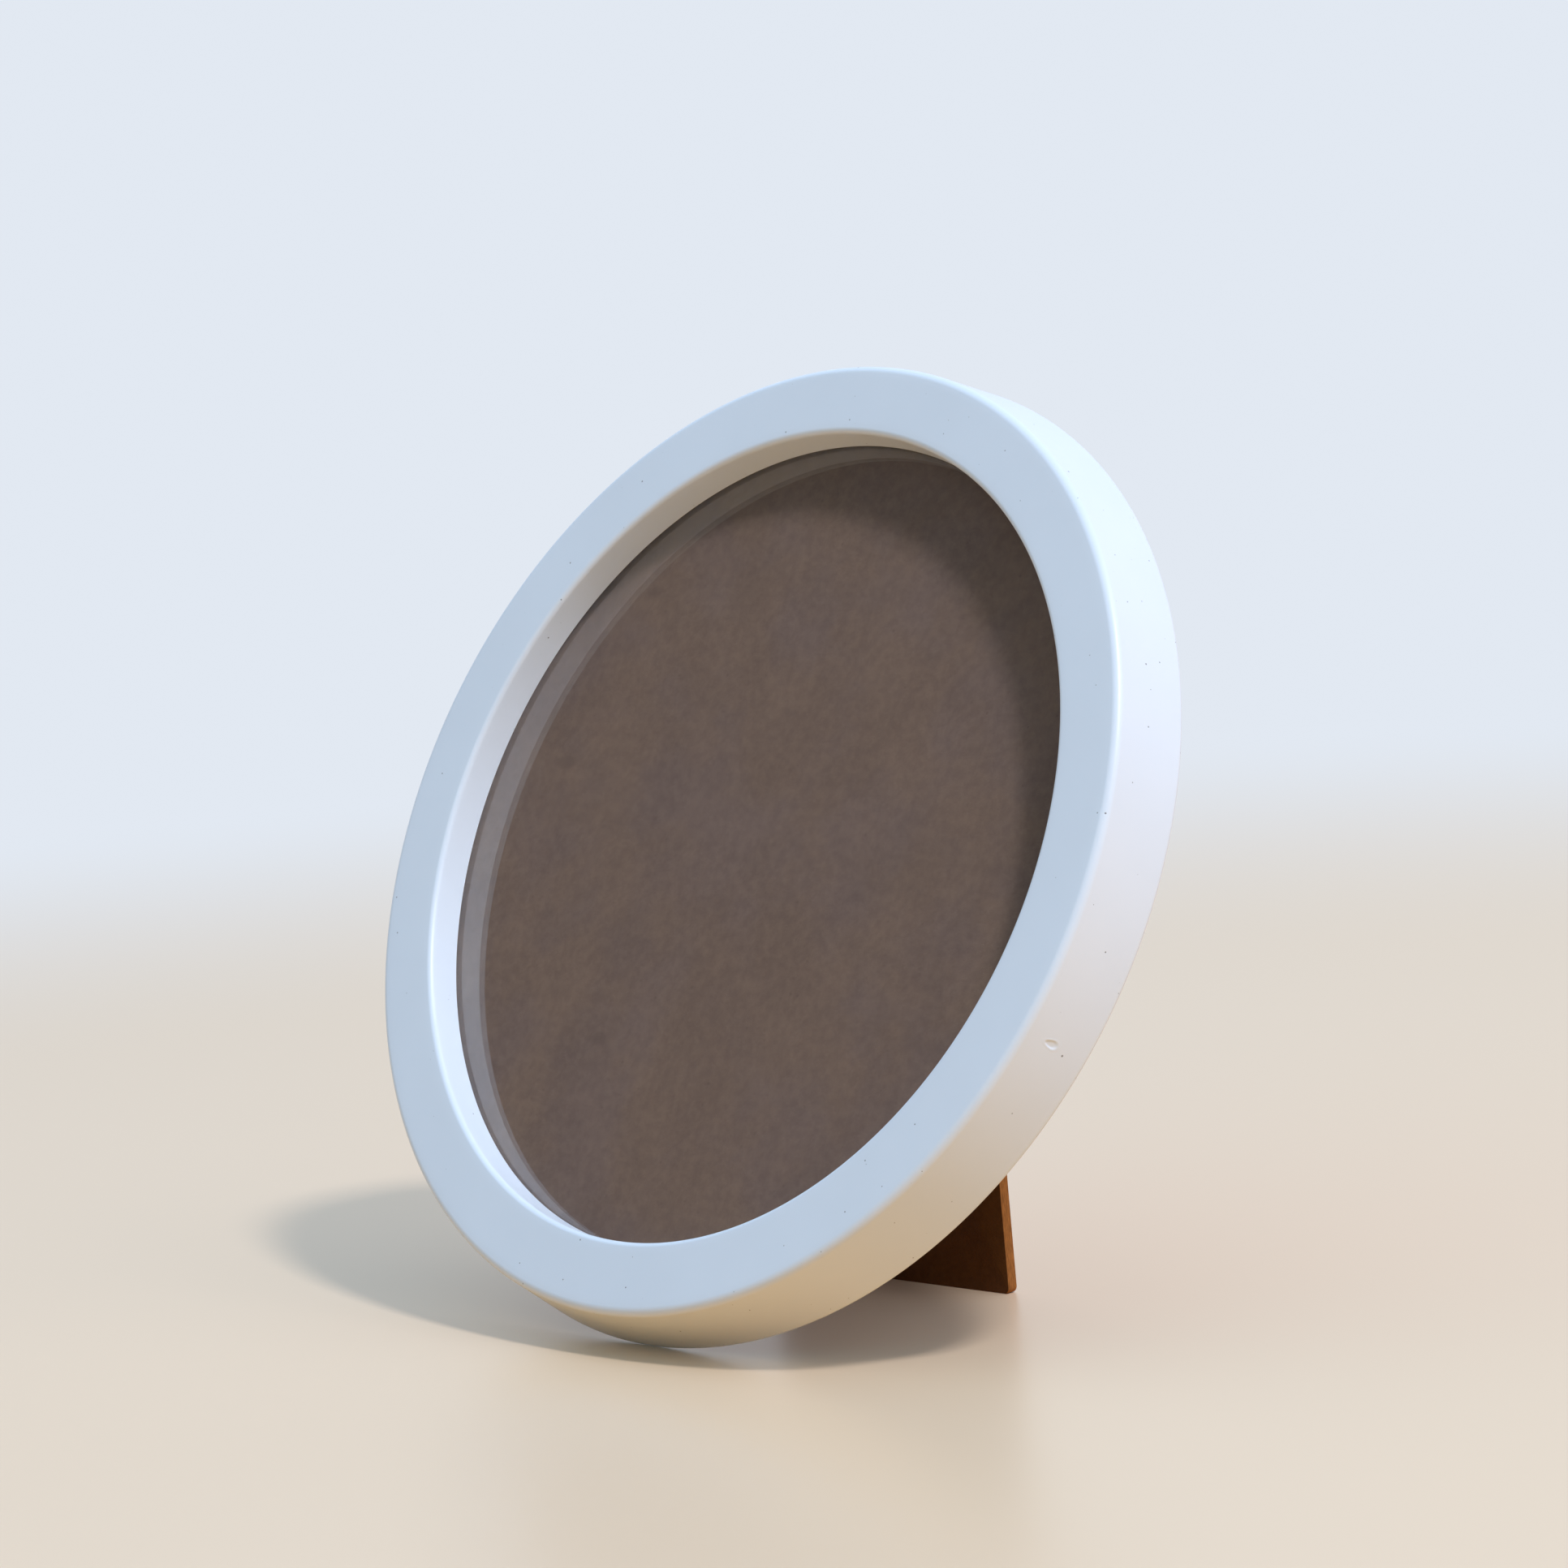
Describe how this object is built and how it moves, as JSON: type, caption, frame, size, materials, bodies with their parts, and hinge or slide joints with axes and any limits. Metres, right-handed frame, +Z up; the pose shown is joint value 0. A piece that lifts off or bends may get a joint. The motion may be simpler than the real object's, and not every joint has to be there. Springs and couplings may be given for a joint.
{
  "type": "photo frame",
  "caption": "Round desk photo frame: white ring with a flared outer wall, recessed glass over a plain brown back, turn buttons behind and a hinged strut that it leans on.",
  "frame": {"origin": "on the table, below the middle of the frame's outline as it stands open", "axes": "+X across the frame to the right as seen from the front, +Y towards the back, +Z up"},
  "size_m": [0.205, 0.1046, 0.1878],
  "materials": {
    "white_lacquer": "satin white lacquer on turned fibreboard",
    "clear_glass": "clear float glass",
    "back_hardboard": "smooth brown hardboard",
    "strut_hardboard": "dark brown hardboard",
    "hinge_steel": "zinc plated, satin",
    "rivet_steel": "plated, satin",
    "button_steel": "zinc plated, satin",
    "screw_steel": "zinc plated"
  },
  "bodies": {
    "frame": {"ring_frame": "white_lacquer", "glass_pane": "clear_glass", "backing_board": "back_hardboard", "hinge_board_leaf": "hinge_steel", "board_rivets": "rivet_steel", "hinge_pin": "rivet_steel", "turn_button_screws": "screw_steel"},
    "strut": {"strut": "strut_hardboard", "hinge_strut_leaf": "hinge_steel", "strut_rivets": "rivet_steel"},
    "turn_button_1": {"turn_button_1": "button_steel"},
    "turn_button_2": {"turn_button_2": "button_steel"},
    "turn_button_3": {"turn_button_3": "button_steel"},
    "turn_button_4": {"turn_button_4": "button_steel"}
  },
  "joints": [
    {"name": "strut_hinge", "type": "hinge", "parent": "frame", "child": "strut", "pos_m": [0, 0.0283, 0.1404], "axis": [-1, 0, 0], "range_deg": [0, 26.8]},
    {"name": "turn_button_1_pivot", "type": "hinge", "parent": "frame", "child": "turn_button_1", "pos_m": [0.06636, 0.03245, 0.15271], "axis": [0, 0.8943, -0.4474], "range_deg": [-90, 90]},
    {"name": "turn_button_2_pivot", "type": "hinge", "parent": "frame", "child": "turn_button_2", "pos_m": [-0.06636, 0.03245, 0.15271], "axis": [0, 0.8943, -0.4474], "range_deg": [-90, 90]},
    {"name": "turn_button_3_pivot", "type": "hinge", "parent": "frame", "child": "turn_button_3", "pos_m": [-0.06636, -0.02694, 0.03401], "axis": [0, 0.8943, -0.4474], "range_deg": [-90, 90]},
    {"name": "turn_button_4_pivot", "type": "hinge", "parent": "frame", "child": "turn_button_4", "pos_m": [0.06636, -0.02694, 0.03401], "axis": [0, 0.8943, -0.4474], "range_deg": [-90, 90]}
  ]
}
